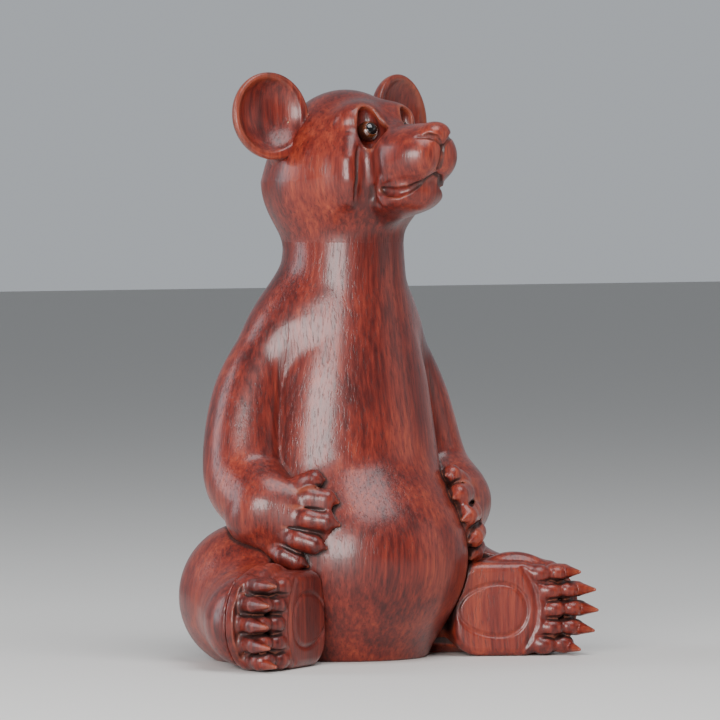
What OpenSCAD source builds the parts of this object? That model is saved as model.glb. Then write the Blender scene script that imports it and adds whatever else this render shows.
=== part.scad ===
// Carved hardwood bear, sitting with its paws on its belly, glued up from shaped blocks.
// Millimetres. +Z is up, the bear faces -Y, and its left side is +X.
// The origin is the middle of its footprint on the table.

/* [Torso] */
// Half width of the belly
belly_r = 45; // [40:0.5:52]
// Half width of the neck
neck_r = 23.5; // [20:0.5:27]
// Height of the neck joint above the table
neck_z = 162; // [140:1:190]
// Share of the belly's width that sits flat on the table
seat_share = 0.78; // [0.7:0.01:0.86]

/* [Head] */
// Radius of the skull
skull_r = 31; // [28:0.5:34]
// How far the head turns to the bear's left, in degrees
head_turn = 9; // [-20:1:20]
// How far the face looks up, in degrees
head_lift = 20; // [5:1:30]
// Radius of the muzzle's end
muzzle_r = 10.5; // [9:0.5:13]
// Reach of the muzzle from the skull's middle
muzzle_reach = 42.5; // [38:0.5:48]
// Radius of an eyeball
eye_r = 4; // [3.5:0.1:4.6]
// Distance between the middles of the eyes
eye_gap = 18; // [16:0.5:20]
// Radius of a pupil inlay
pupil_r = 2.4; // [1.8:0.1:2.8]

/* [Ears] */
// Outer radius of an ear
ear_r = 17; // [15:0.5:20]
// Thickness of an ear, from its rim to its back
ear_t = 9; // [8:0.5:11]
// Depth of the dish in an ear's front
ear_dish = 5.5; // [4:0.5:6]

/* [Arms] */
// Radius of an elbow
elbow_r = 16; // [14:0.5:18]
// Height of an elbow above the table
elbow_z = 70; // [64:1:76]
// Distance between two fingers' middles
finger_pitch = 8; // [7:0.25:8.5]
// Radius of a finger
finger_r = 4.3; // [3.8:0.1:4.8]

/* [Legs] */
// Radius of a haunch
haunch_r = 25; // [22:0.5:28]
// Length of a foot, from its heel to the tip of its longest claw
foot_l = 57; // [52:1:64]
// Height of a foot, which stands on its edge
foot_h = 37; // [34:0.5:42]
// Thickness of a foot, from its back to its sole
foot_t = 18; // [16:0.5:20]
// How far the toes point forward of straight sideways, in degrees
foot_splay = 28; // [24:1:33]

/* [Dowels] */
// Radius of the neck dowel
neck_dowel_r = 5; // [3:0.5:7]
// Radius of a shoulder, hip or ankle dowel
limb_dowel_r = 3; // [2:0.5:4]
// Radius of an ear dowel
ear_dowel_r = 1.2; // [0.8:0.1:1.4]
// Gap for glue round a dowel and in a joint
glue_gap = 0.15; // [0.1:0.05:0.3]

/* [Hidden] */
wood = [0.5, 0.2, 0.13];
dowel_wood = [0.78, 0.62, 0.42];
eye_brown = [0.35, 0.15, 0.06];
black = [0.04, 0.03, 0.03];
FINGERS = [0:4];
set_back = 8.3;                     // the neck stands this far behind the footprint's middle
skull_z = neck_z + skull_r * 1.1;   // height of the skull's middle
muzzle_drop = 15;                   // the muzzle's middle hangs this far below the skull's
ear_side = skull_r + 4.6;           // an ear's middle, sideways from the skull's middle
ear_up = skull_r * 0.55;            // above it
ear_ahead = 2.5;                    // and in front of it
ear_flat = 3.4;                     // an ear's round edge is cut away this far, to seat on the skull
ear_cant = 12;                      // an ear's dish turns outward by this angle
ear_pitch = 18;                     // and back down from the lifted face by this one

// Torso sections: [height, half width, half depth, middle's place along Y], from the seat up.
SECTIONS = [
    [0, belly_r * seat_share, belly_r * seat_share * 0.95, -2],
    [6, belly_r * 0.9, belly_r * 0.9, -4],
    [neck_z * 0.13, belly_r * 0.975, belly_r * 0.97, -5],
    [neck_z * 0.25, belly_r, belly_r * 0.97, -5],
    [neck_z * 0.38, belly_r * 0.95, belly_r * 0.88, -3],
    [neck_z * 0.52, belly_r * 0.86, belly_r * 0.76, 1],
    [neck_z * 0.66, belly_r * 0.79, belly_r * 0.7, 2.5],
    [neck_z * 0.8, belly_r * 0.4 + neck_r * 0.52, belly_r * 0.34 + neck_r * 0.52, 3],
    [neck_z * 0.92, neck_r * 1.04, neck_r * 1.04, 1],
    [neck_z, neck_r, neck_r, 0]
];
// Smooth curve through four values, at share t between the middle two.
function spline(a, b, c, d, t) = b + t * ((c - a) / 2
    + t * ((2 * a - 5 * b + 4 * c - d) / 2 + t * (3 * b - a - 3 * c + d) / 2));
function section(k) = let(n = len(SECTIONS), i = min(floor(k), n - 2), t = k - i)
    spline(SECTIONS[max(i - 1, 0)], SECTIONS[i], SECTIONS[i + 1], SECTIONS[min(i + 2, n - 1)], t);
// Torso section at a height: [height, half width, half depth, middle], between the listed ones.
function at_height(z, i = 0) = (i >= len(SECTIONS) - 2 || z < SECTIONS[i + 1][0])
    ? let(t = (z - SECTIONS[i][0]) / (SECTIONS[i + 1][0] - SECTIONS[i][0]))
        SECTIONS[i] * (1 - t) + SECTIONS[i + 1] * t
    : at_height(z, i + 1);
// Point beside the bear's left flank, at a height, an angle from straight ahead, and a distance out.
function flank(z, angle, out) = let(s = at_height(z))
    [(s[1] + out) * sin(angle), s[3] - (s[2] + out) * cos(angle), z];

module ball(p, r, fn = 18) { translate(p) sphere(r = r, $fn = fn); }
// A limb's length, between two balls of its own.
module link(p, r, q, s, fn = 18) { hull() { ball(p, r, fn); ball(q, s, fn); } }
// The bear's right side is the left one's mirror image.
module side_of(left) { if (left) children(); else mirror([1, 0, 0]) children(); }
// Every piece is set so that the footprint's middle is the origin.
module placed() { translate([0, set_back, 0]) children(); }
module below_table() { translate([-150, -150, -50]) cube([300, 300, 50]); }

// The torso's outside, grown by a gap where another block is cut to meet it.
module torso_form(grow = 0) {
    rings = 27;
    around = 34;
    last = len(SECTIONS) - 1;
    points = [for (i = [0:rings], j = [0:around - 1])
        let(s = section(last * i / rings), a = 360 * j / around)
        [(s[1] + grow) * cos(a), s[3] + (s[2] + grow) * sin(a), s[0]]];
    polyhedron(points, concat(
        [[for (j = [0:around - 1]) j]],
        [[for (j = [0:around - 1]) rings * around + around - 1 - j]],
        [for (i = [0:rings - 1], j = [0:around - 1], half = [0, 1])
            let(a = i * around + j, b = i * around + (j + 1) % around)
            half == 0 ? [a, a + around, b] : [b, a + around, b + around]]
    ), convexity = 4);
}

// Head frame: origin at the skull's middle, turned and lifted with the face.
module at_head() {
    translate([0, 0, skull_z]) rotate([0, 0, head_turn]) rotate([-head_lift, 0, 0]) children();
}
// Ear frame, on the left: origin at the middle of the rim, +Z out of the dish, -X to the skull.
module at_ear() {
    translate([ear_side, -ear_ahead, ear_up]) rotate([ear_pitch, 0, 0])
        rotate([0, -atan2(ear_up, ear_side), 0]) rotate([0, 0, ear_cant]) rotate([90, 0, 0]) children();
}
eye_cant = 12;
// Eye frame, on the left: origin at the eyeball's middle, +Z along its gaze.
eye_ahead = sqrt(pow(skull_r * 0.97, 2) - pow(eye_gap / 2, 2)) - eye_r * 1.25;
module at_eye() {
    translate([eye_gap / 2, -eye_ahead, 0.8]) rotate([0, 0, eye_cant]) rotate([90, 0, 0]) children();
}
// Foot frame, on the left: +X from heel to toes, +Y up, +Z out of the sole.
module at_foot() {
    translate([belly_r * 0.667, -belly_r * 0.69, 0]) rotate([0, 0, -foot_splay])
        rotate([90, 0, 0]) children();
}
// Dowels stand on +Z in these frames, with their middles in the joint.
module at_neck_dowel() { translate([0, 0, neck_z]) children(); }
module at_arm_dowel() { s = at_height(112); translate([s[1] + 1, 6, 112]) rotate([0, 90, 0]) children(); }
module at_leg_dowel() { s = at_height(28); translate([s[1] + 1, 0, 28]) rotate([0, 90, 0]) children(); }
module at_foot_dowel() { at_foot() translate([foot_l * 0.45, foot_h * 0.48, -foot_t]) children(); }
ear_dowel_reach = 4;
module at_ear_dowel() {
    at_ear() translate([-ear_r + ear_flat, 0, -ear_t * 0.5]) rotate([0, 90, 0]) children();
}
module dowel(r, length) { cylinder(r = r, h = length, center = true, $fn = 48); }
module dowel_hole(r, length) { dowel(r + glue_gap, length + 2 * glue_gap); }
neck_dowel_l = 26;
arm_dowel_l = 16;
leg_dowel_l = 20;
foot_dowel_l = 18;
ear_dowel_l = 2 * ear_dowel_reach;

module torso() {
    color(wood) placed() difference() {
        torso_form();
        at_neck_dowel() dowel_hole(neck_dowel_r, neck_dowel_l);
        for (left = [true, false]) side_of(left) {
            at_arm_dowel() dowel_hole(limb_dowel_r, arm_dowel_l);
            at_leg_dowel() dowel_hole(limb_dowel_r, leg_dowel_l);
        }
    }
}

module neck_dowel() {
    color(dowel_wood) placed() at_neck_dowel() dowel(neck_dowel_r, neck_dowel_l);
}

// Skull, cheeks, muzzle, nose and lower jaw, over the top of the neck.
module head() {
    color(wood) placed() difference() {
        union() {
            hull() {
                translate([0, 0, neck_z + glue_gap]) cylinder(r = neck_r, h = 2, $fn = 40);
                translate([0, 0, skull_z]) scale([0.96, 1, 0.8]) sphere(r = skull_r, $fn = 36);
            }
            at_head() {
                scale([0.95, 0.98, 0.92]) sphere(r = skull_r, $fn = 36);
                hull() {
                    for (s = [-1, 1]) ball([s * 8, -skull_r * 0.55, -7], skull_r * 0.42);
                    ball([0, -muzzle_reach * 0.9, -muzzle_drop * 0.72], muzzle_r * 0.86);
                }
                link([0, -skull_r * 0.5, -9], skull_r * 0.52, [0, -muzzle_reach, -muzzle_drop], muzzle_r);
                link([0, -skull_r * 0.4, -17], skull_r * 0.5, [0, -muzzle_reach * 0.83, -muzzle_drop - 11.5],
                    muzzle_r * 0.68);
                link([-2.6, -muzzle_reach - muzzle_r * 0.7, -muzzle_drop + 5.5], 3.8,
                    [2.6, -muzzle_reach - muzzle_r * 0.7, -muzzle_drop + 5.5], 3.8);
                for (s = [-1, 1]) link([s * 14, -skull_r * 0.3, -10], skull_r * 0.45,
                    [s * 5, -skull_r * 0.5, -13], skull_r * 0.4);
                for (s = [-1, 1]) link([s * 9, -skull_r * 0.6, 9], 6.5, [0, -skull_r * 0.4, 12], 12);
            }
        }
        at_head() for (left = [true, false]) side_of(left) {
            at_eye() {
                sphere(r = eye_r + glue_gap, $fn = 24);
                hull() {
                    cylinder(r = eye_r, h = 1, $fn = 24);
                    translate([0, -1, 9]) cylinder(r = eye_r * 1.7, h = 1, $fn = 24);
                    translate([0, 9.5, 9]) sphere(r = 1, $fn = 12);
                }
            }
            ear_form(false);
            at_ear_dowel() dowel_hole(ear_dowel_r, ear_dowel_l);
        }
        at_neck_dowel() dowel_hole(neck_dowel_r, neck_dowel_l);
    }
}

// The left ear, a turned shell: domed back, thin rim and a dish in front, cut flat at the skull.
// Without its dish, and grown by the glue's gap, it is the seat that is cut for it.
module ear_form(dished) {
    grow = dished ? 0 : glue_gap;
    r = ear_r + grow;
    dish_r = ear_r - 1.6;
    sphere_r = (dish_r * dish_r + ear_dish * ear_dish) / (2 * ear_dish);
    back = [for (a = [0:15:90]) [r * sin(a), -(ear_t + grow) * cos(a)]];
    dish = [for (k = [5:-1:0]) let(x = dish_r * k / 5)
        [x, -ear_dish + sphere_r - sqrt(sphere_r * sphere_r - x * x)]];
    at_ear() difference() {
        rotate_extrude($fn = dished ? 42 : 32) polygon(concat(back, dished ? dish : [[r, 4], [0, 4]]));
        translate([-r - 10 + ear_flat, -r, -ear_t * 2]) cube([10, 2 * r, ear_t * 3]);
    }
}
module ear(left) {
    color(wood) placed() at_head() side_of(left) difference() {
        ear_form(true);
        at_ear_dowel() dowel_hole(ear_dowel_r, ear_dowel_l);
    }
}

module ear_dowel(left) {
    color(dowel_wood) placed() at_head() side_of(left) at_ear_dowel() dowel(ear_dowel_r, ear_dowel_l);
}

// An eyeball has a flat-bottomed hole in front for its pupil.
module pupil_form(grow) {
    translate([0, 0, eye_r * 0.45 - grow]) cylinder(r = pupil_r + grow, h = eye_r, $fn = 32);
}
module eye(left) {
    color(eye_brown) placed() at_head() side_of(left) at_eye() difference() {
        sphere(r = eye_r, $fn = 26);
        pupil_form(0.05);
    }
}
module pupil(left) {
    color(black) placed() at_head() side_of(left) at_eye() intersection() {
        sphere(r = eye_r, $fn = 26);
        pupil_form(0);
    }
}

// Upper arm, forearm and paw, with five clawed fingers laid round the belly.
module arm_form() {
    shoulder = [neck_r * 0.8, 7.5, neck_z * 0.84];
    upper = [belly_r * 0.6, 8.5, neck_z * 0.765];
    middle = [belly_r * 0.85, 9, (neck_z * 0.765 + elbow_z) / 2 + 4];
    elbow = [belly_r * 0.98, 4.5, elbow_z];
    wrist = flank(58, 70, 3);
    link(shoulder, 12.5, upper, 14);
    link(upper, 14, middle, elbow_r * 0.92);
    link(middle, elbow_r * 0.92, elbow, elbow_r);
    link(elbow, elbow_r, wrist, 13);
    hull() for (s = [-1, 1]) {
        ball(wrist, 12);
        ball(flank(55 + s * finger_pitch * 1.5, 62, 2), 7.5);
    }
    for (i = FINGERS) {
        z = 55 + (i - 2) * finger_pitch;
        reach = 3 * (2 - abs(i - 2));
        link(flank(z, 66 - reach, 3), finger_r, flank(z, 54 - reach, 2), finger_r * 0.94, 14);
        link(flank(z, 51 - reach, 2.2), finger_r * 0.62, flank(z - 1, 43 - reach, 0.8), 0.9, 10);
    }
}
module arm(left) {
    color(wood) placed() side_of(left) difference() {
        arm_form();
        torso_form(glue_gap);
        at_arm_dowel() dowel_hole(limb_dowel_r, arm_dowel_l);
    }
}
module arm_dowel(left) {
    color(dowel_wood) placed() side_of(left) at_arm_dowel() dowel(limb_dowel_r, arm_dowel_l);
}

// Haunch, knee and shin, cut flat where the foot's back is glued on.
module leg_form() {
    haunch = [belly_r, 4, haunch_r * 0.94];
    ankle = [belly_r * 1.29, -20, foot_h * 0.5];
    hull() {
        ball(haunch, haunch_r, 32);
        ball([haunch[0] * 0.82, 8, haunch_r * 0.85], haunch_r * 0.9);
    }
    link(haunch, haunch_r * 0.98, ankle, foot_h * 0.47, 32);
    link(ankle, foot_h * 0.47, ankle + [7, -11, 0], foot_h * 0.43);
}
module leg(left) {
    color(wood) placed() side_of(left) difference() {
        leg_form();
        below_table();
        torso_form(glue_gap);
        at_foot() translate([-20, -30, -foot_t - glue_gap]) cube([foot_l + 60, foot_h + 60, foot_t + 60]);
        at_leg_dowel() dowel_hole(limb_dowel_r, leg_dowel_l);
        at_foot_dowel() dowel_hole(limb_dowel_r, foot_dowel_l);
    }
}
module leg_dowel(left) {
    color(dowel_wood) placed() side_of(left) at_leg_dowel() dowel(limb_dowel_r, leg_dowel_l);
}

// Foot on its outer edge: sole with an outlined pad, five toe pads, toes and claws.
module foot_form() {
    mid = foot_h / 2;
    pitch = foot_h * 0.19;
    hull() {
        translate([mid, mid, -foot_t]) cylinder(r = mid, h = foot_t - 2.5, $fn = 40);
        translate([mid, mid, -foot_t]) cylinder(r = mid - 2.5, h = foot_t, $fn = 40);
        for (y = [8.5, foot_h - 8.5]) {
            translate([foot_l * 0.64, y, -foot_t]) cylinder(r = 8.5, h = foot_t - 4, $fn = 24);
            translate([foot_l * 0.62, y, -foot_t]) cylinder(r = 6.5, h = foot_t, $fn = 24);
        }
    }
    for (i = FINGERS) {
        y = mid + (i - 2) * pitch;
        x = foot_l - 15 - abs(i - 2.4) * 1.6;
        ball([x - 1, y, -1.6], 3.9, 12);
        link([x + 3, y, -foot_t + 4.5], 4, [x + 6.5, y, -4.5], 4.1, 12);
        link([x + 8.5, y, -5.5], 2.9, [x + 14.5, y - 0.5, -3], 0.9, 10);
    }
}
// The pad on the sole stands inside a shallow groove, between outlines like this one.
module pad_outline(r, depth) {
    hull() for (x = [foot_h * 0.4, foot_l * 0.42])
        translate([x, 0, -depth]) cylinder(r = r, h = 2 * depth, $fn = 32);
}
module foot(left) {
    pad_r = foot_h * 0.33;
    color(wood) placed() side_of(left) difference() {
        at_foot() difference() {
            foot_form();
            translate([0, foot_h / 2, 0]) difference() {
                pad_outline(pad_r, 1);
                pad_outline(pad_r - 1, 2);
            }
        }
        below_table();
        torso_form(glue_gap);
        arm_form();
        at_foot_dowel() dowel_hole(limb_dowel_r, foot_dowel_l);
    }
}
module foot_dowel(left) {
    color(dowel_wood) placed() side_of(left) at_foot_dowel() dowel(limb_dowel_r, foot_dowel_l);
}

torso();
head();
neck_dowel();
ear(true);  // ear_left
ear(false);  // ear_right
ear_dowel(true);  // ear_dowel_left
ear_dowel(false);  // ear_dowel_right
eye(true);  // eye_left
eye(false);  // eye_right
pupil(true);  // pupil_left
pupil(false);  // pupil_right
arm(true);  // arm_left
arm(false);  // arm_right
arm_dowel(true);  // arm_dowel_left
arm_dowel(false);  // arm_dowel_right
leg(true);  // leg_left
leg(false);  // leg_right
leg_dowel(true);  // leg_dowel_left
leg_dowel(false);  // leg_dowel_right
foot(true);  // foot_left
foot(false);  // foot_right
foot_dowel(true);  // foot_dowel_left
foot_dowel(false);  // foot_dowel_right
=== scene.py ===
import math

import bpy
import numpy as np
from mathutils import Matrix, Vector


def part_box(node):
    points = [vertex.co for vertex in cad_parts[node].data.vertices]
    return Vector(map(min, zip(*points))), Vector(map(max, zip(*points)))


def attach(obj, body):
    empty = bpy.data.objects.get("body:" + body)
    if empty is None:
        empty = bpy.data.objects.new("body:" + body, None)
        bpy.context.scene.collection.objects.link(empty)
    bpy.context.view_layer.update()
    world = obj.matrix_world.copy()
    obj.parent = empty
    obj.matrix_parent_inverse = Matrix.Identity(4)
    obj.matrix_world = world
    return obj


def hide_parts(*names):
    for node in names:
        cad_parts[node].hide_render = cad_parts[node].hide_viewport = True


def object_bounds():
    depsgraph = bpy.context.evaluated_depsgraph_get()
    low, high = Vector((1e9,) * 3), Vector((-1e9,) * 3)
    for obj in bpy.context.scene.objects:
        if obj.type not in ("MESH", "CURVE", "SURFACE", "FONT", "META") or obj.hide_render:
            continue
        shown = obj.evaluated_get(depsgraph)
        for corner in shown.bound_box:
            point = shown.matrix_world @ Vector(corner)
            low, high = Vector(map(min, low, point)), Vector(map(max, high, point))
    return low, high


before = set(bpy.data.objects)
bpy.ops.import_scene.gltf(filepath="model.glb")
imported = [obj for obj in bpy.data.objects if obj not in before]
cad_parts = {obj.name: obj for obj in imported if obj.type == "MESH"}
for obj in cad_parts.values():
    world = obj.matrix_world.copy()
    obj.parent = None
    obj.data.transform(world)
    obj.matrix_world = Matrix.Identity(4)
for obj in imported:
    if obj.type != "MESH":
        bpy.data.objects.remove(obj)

import openvdb
from mathutils import Euler, Matrix, Vector

cad_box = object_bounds()

# Camera: level with the bear's chest, to its right of straight ahead, through a long lens.
middle = (cad_box[0] + cad_box[1]) / 2
camera = bpy.data.objects.new("camera", bpy.data.cameras.new("camera"))
bpy.context.collection.objects.link(camera)
bpy.context.scene.camera = camera
camera.data.lens = 308
camera.data.clip_start = 0.05
azimuth, height, distance = math.radians(-36), math.radians(1.8), 2.4
back = Vector((math.sin(azimuth) * math.cos(height), -math.cos(azimuth) * math.cos(height), math.sin(height)))
aim = middle + Vector((0.001, -0.0007, 0.0010))
camera.location = aim + distance * back
camera.rotation_euler = back.to_track_quat("Z", "Y").to_euler()

# Light: the room is dim, and brighter behind the bear than on the camera's side. The lamps are a large
# window on the left, one high in front, a weak fill on the right and a narrow one behind.
world = bpy.data.worlds.new("room")
bpy.context.scene.world = world
world.use_nodes = True
room = world.node_tree
facing = room.nodes.new("ShaderNodeVectorMath")
facing.operation = "DOT_PRODUCT"
facing.inputs[1].default_value = back
room.links.new(room.nodes.new("ShaderNodeTexCoord").outputs["Generated"], facing.inputs[0])
shade = room.nodes.new("ShaderNodeMapRange")
dimmest, brightest = 0.05, 0.5
for socket, value in ((1, 1), (2, -1), (3, dimmest), (4, brightest)):
    shade.inputs[socket].default_value = value
room.links.new(facing.outputs["Value"], shade.inputs[0])
room.links.new(shade.outputs[0], room.nodes["Background"].inputs["Strength"])
room.nodes["Background"].inputs["Color"].default_value = (0.86, 0.91, 0.97, 1)


def soft_light(name, turn, rise, away, wide, tall, watts, tint):
    """A rectangular lamp that looks at the bear from a turn and rise, in degrees."""
    lamp = bpy.data.objects.new(name, bpy.data.lights.new(name, "AREA"))
    bpy.context.collection.objects.link(lamp)
    lamp.data.shape = "RECTANGLE"
    lamp.data.size, lamp.data.size_y = wide, tall
    lamp.data.energy, lamp.data.color = watts, tint
    a, e = math.radians(turn), math.radians(rise)
    out = Vector((math.sin(a) * math.cos(e), -math.cos(a) * math.cos(e), math.sin(e)))
    lamp.location = middle + away * out
    lamp.rotation_euler = out.to_track_quat("Z", "Y").to_euler()


soft_light("window", -51, 11, 1.2, 0.7, 0.5, 18, (1.0, 0.98, 0.97))
soft_light("sky", 0, 62, 1.3, 0.9, 0.9, 15, (0.95, 0.97, 1.0))
soft_light("rim", -125, 15, 1.2, 0.5, 1.0, 8, (0.86, 0.93, 1.0))
soft_light("fill", 50, 12, 1.4, 0.8, 0.8, 1.5, (1.0, 0.96, 0.92))

# Floor: a plain pale table top, far wider than the bear.
floor = bpy.data.objects.new("floor", bpy.data.meshes.new("floor"))
bpy.context.collection.objects.link(floor)
floor.data.from_pydata([(-6, -6, 0), (6, -6, 0), (6, 6, 0), (-6, 6, 0)], [], [(0, 1, 2, 3)])
pale = bpy.data.materials.new("pale_floor")
pale.use_nodes = True
pale.node_tree.nodes["Principled BSDF"].inputs["Base Color"].default_value = (0.72, 0.7, 0.67, 1)
pale.node_tree.nodes["Principled BSDF"].inputs["Roughness"].default_value = 0.6
floor.data.materials.append(pale)

# ---------------------------------------------------------------------------------------------
# Torso. One tall block of the red-brown hardwood, carved to belly, chest, shoulders and neck,
# and sanded smooth. It is flat underneath, and the head and limbs are dowelled to it.
# ---------------------------------------------------------------------------------------------
# Shapes are in millimetres, from the neck's axis at the table. A shape is two corners that hold it,
# and a function that gives the distance from its surface, less than 0 inside.
neck_lo, neck_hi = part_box("neck_dowel")
neck = (neck_lo + neck_hi) / 2
neck_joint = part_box("torso")[1].z * 1000


class Block:
    """A block of wood on a grid: the distance to the carved surface, less than 0 inside."""

    def __init__(self, low, high, step, place=Matrix.Identity(4)):
        self.low, self.step, self.place = np.array(low, float), step, place
        counts = [int(math.ceil((b - a) / step)) + 1 for a, b in zip(low, high)]
        self.axes = [np.float32(low[i] + step * np.arange(counts[i])) for i in range(3)]
        self.field = np.full(counts, 100, np.float32)

    def twin(self):
        """An empty grid in the same place."""
        other = Block.__new__(Block)
        other.low, other.step, other.axes, other.place = self.low, self.step, self.axes, self.place
        other.field = np.full(self.field.shape, 100, np.float32)
        return other

    def part(self, low, high):
        """The slices of the grid between two corners, and their places."""
        cuts, places = [], []
        for i in range(3):
            a = max(0, int((low[i] - self.low[i]) / self.step))
            b = min(len(self.axes[i]), int((high[i] - self.low[i]) / self.step) + 2)
            cuts.append(slice(a, max(a, b)))
            shape = [1, 1, 1]
            shape[i] = -1
            places.append(self.axes[i][cuts[i]].reshape(shape))
        return tuple(cuts), places

    def add(self, shape, blend=0.0, reach=4):
        """Lays more wood on, with a fillet as wide as the blend. Its distance is known to the reach."""
        low, high, distance = shape
        cut, p = self.part(np.array(low) - blend - reach, np.array(high) + blend + reach)
        if all(s.stop > s.start for s in cut):
            self.field[cut] = merge(self.field[cut], distance(*p), blend)

    def cut(self, shape, blend=0.0):
        """Carves a shape away, with the edge eased by the blend."""
        low, high, distance = shape
        cut, p = self.part(np.array(low) - blend - 4, np.array(high) + blend + 4)
        if all(s.stop > s.start for s in cut):
            self.field[cut] = -merge(-self.field[cut], distance(*p), blend)

    def keep(self, shape, blend=0.0):
        """Keeps only what lies inside a shape."""
        self.field = -merge(-self.field, -shape[2](*self.part(self.low, self.low + 1e4)[1]), blend)

    def at(self, points):
        """The distance at any points, between the grid's own."""
        g = (points - self.low) / self.step
        top = np.array(self.field.shape) - 1.001
        g = np.clip(g, 0, top)
        i = g.astype(int)
        f = g - i
        total = 0
        for corner in range(8):
            d = np.array([corner & 1, corner >> 1 & 1, corner >> 2])
            w = np.prod(np.where(d, f, 1 - f), axis=1)
            j = i + d
            total = total + w * self.field[j[:, 0], j[:, 1], j[:, 2]]
        return total


def merge(a, b, blend):
    """The nearer of two distances, rounded where they are alike."""
    if np.max(blend) <= 0:
        return np.minimum(a, b)
    h = np.maximum(blend - np.abs(a - b), 0)
    return np.minimum(a, b) - h * h / (4 * np.maximum(blend, 1e-3))


def egg(centre, radii, turn=(0, 0, 0)):
    """An egg with three radii, turned about X, Y and Z in degrees."""
    c, r = np.array(centre, float), np.array(radii, float)
    m = np.array(Euler([math.radians(t) for t in turn]).to_matrix().transposed())

    def distance(x, y, z):
        x, y, z = x - c[0], y - c[1], z - c[2]
        q = [(m[i, 0] * x + m[i, 1] * y + m[i, 2] * z) / r[i] for i in range(3)]
        k = np.sqrt(q[0] ** 2 + q[1] ** 2 + q[2] ** 2)
        k2 = np.sqrt((q[0] / r[0]) ** 2 + (q[1] / r[1]) ** 2 + (q[2] / r[2]) ** 2)
        return k * (k - 1) / np.maximum(k2, 1e-6)
    return c - r.max(), c + r.max(), distance


# Trunk: height as a share of the neck joint's, half width, front and back, in millimetres.
TRUNK = np.array([
    (-0.20, 28, -28, 26), (0.00, 33, -31, 30), (0.08, 37.5, -34, 33), (0.20, 41, -37, 35.5),
    (0.31, 42, -36.5, 36), (0.43, 40.5, -34, 36), (0.55, 38, -31.5, 35.5), (0.68, 34.5, -29.5, 34),
    (0.80, 29, -26.5, 30.5), (0.91, 24.6, -24, 26.5), (1.00, 23.2, -23.2, 24), (1.10, 24, -23, 25),
    (1.30, 26, -23, 28)])


def trunk():
    """The tall body under the belly and arms, an ellipse at each height."""
    fine = np.linspace(TRUNK[0, 0], TRUNK[-1, 0], 200)
    # Each width is eased over a few of the fine steps, so that no corner shows.
    ease = 8
    window = np.hanning(2 * ease + 1) / ease
    rough = [np.pad(np.interp(fine, TRUNK[:, 0], TRUNK[:, i]), ease, "edge") for i in (1, 2, 3)]
    wave = [np.convolve(r, window, "valid") for r in rough]

    def distance(x, y, z):
        wide, front, rear = [np.interp(z / neck_joint, fine, w).astype(np.float32) for w in wave]
        deep, mid = (rear - front) / 2, (rear + front) / 2
        u, v = x / wide, (y - mid) / deep
        k = np.sqrt(u * u + v * v)
        k2 = np.sqrt((u / wide) ** 2 + (v / deep) ** 2)
        return k * (k - 1) / np.maximum(k2, 1e-6) * 0.97
    return (-46, -46, -60), (46, 40, 400), distance


trunk_shape = trunk()
belly = egg((0, -10, 39.5), (43.5, 40.5, 39.5))


def lay_torso(block):
    """Trunk and belly, with a soft waist between them."""
    block.add(trunk_shape)
    block.add(belly, 10)
    return block


def shader(name):
    """A new material: its node tree, its main shader, and a function that adds a linked node."""
    material = bpy.data.materials.new(name)
    material.use_nodes = True
    tree = material.node_tree

    def node(kind, sources=None, **settings):
        made = tree.nodes.new("ShaderNode" + kind)
        for key, value in settings.items():
            setattr(made, key, value)
        for socket, value in (sources or {}).items():
            if isinstance(value, bpy.types.NodeSocket):
                tree.links.new(value, made.inputs[socket])
            else:
                made.inputs[socket].default_value = value
        return made
    return material, tree.nodes["Principled BSDF"], node, tree.links.new


def math_node(node, operation, a, b=0.0, clamp=False):
    """A sum, or another operation, on two values."""
    return node("Math", {0: a, 1: b}, operation=operation, use_clamp=clamp).outputs[0]


def ramp(node, value, stops):
    """A colour ramp through (place, colour) stops."""
    made = node("ValToRGB", {"Fac": value})
    elements = made.color_ramp.elements
    while len(elements) < len(stops):
        elements.new(0.5)
    for element, (place, colour) in zip(elements, stops):
        element.position = place
        element.color = (*colour, 1)
    return made.outputs["Color"]


def mix(node, amount, a, b):
    """One colour turned into another, by an amount."""
    return node("Mix", {0: amount, 6: a, 7: b}, data_type="RGBA").outputs[2]


# The finish: red-brown hardwood, stained and waxed. Its growth layers, streaks and pores run up
# the block. The hollows are darkened with painted shade and some stain, and handling has paled the sharp
# edges.
hardwood, surface, node, link = shader("waxed_hardwood")
place = node("TexCoord").outputs["Object"]
sway = node("TexNoise", {"Vector": place, "Scale": 16.0, "Detail": 2.0}).outputs["Color"]
sway = node("VectorMath", {0: sway, 1: (0.5, 0.5, 0.5)}, operation="SUBTRACT").outputs[0]
sway = node("VectorMath", {0: sway, 1: (0.008, 0.008, 0.03)}, operation="MULTIPLY").outputs[0]
bent = node("VectorMath", {0: place, 1: sway}, operation="ADD").outputs[0]
# Growth layers, round a pith line that stands behind the bear and leans a little.
from_pith = node("VectorMath", {0: bent, 1: (0.004, 0.105, 0)}, operation="SUBTRACT").outputs[0]
from_pith = node("VectorMath", {0: from_pith, 1: (1, 1, 0.045)}, operation="MULTIPLY").outputs[0]
radius = node("VectorMath", {0: from_pith}, operation="LENGTH").outputs["Value"]
layer = math_node(node, "PINGPONG", math_node(node, "MULTIPLY", radius, 210.0), 1.0)
drawn_wide = node("VectorMath", {0: bent, 1: (1, 1, 0.22)}, operation="MULTIPLY").outputs[0]
patches = node("TexNoise", {"Vector": drawn_wide, "Scale": 34.0, "Detail": 3.0, "Roughness": 0.55}).outputs[0]
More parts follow.
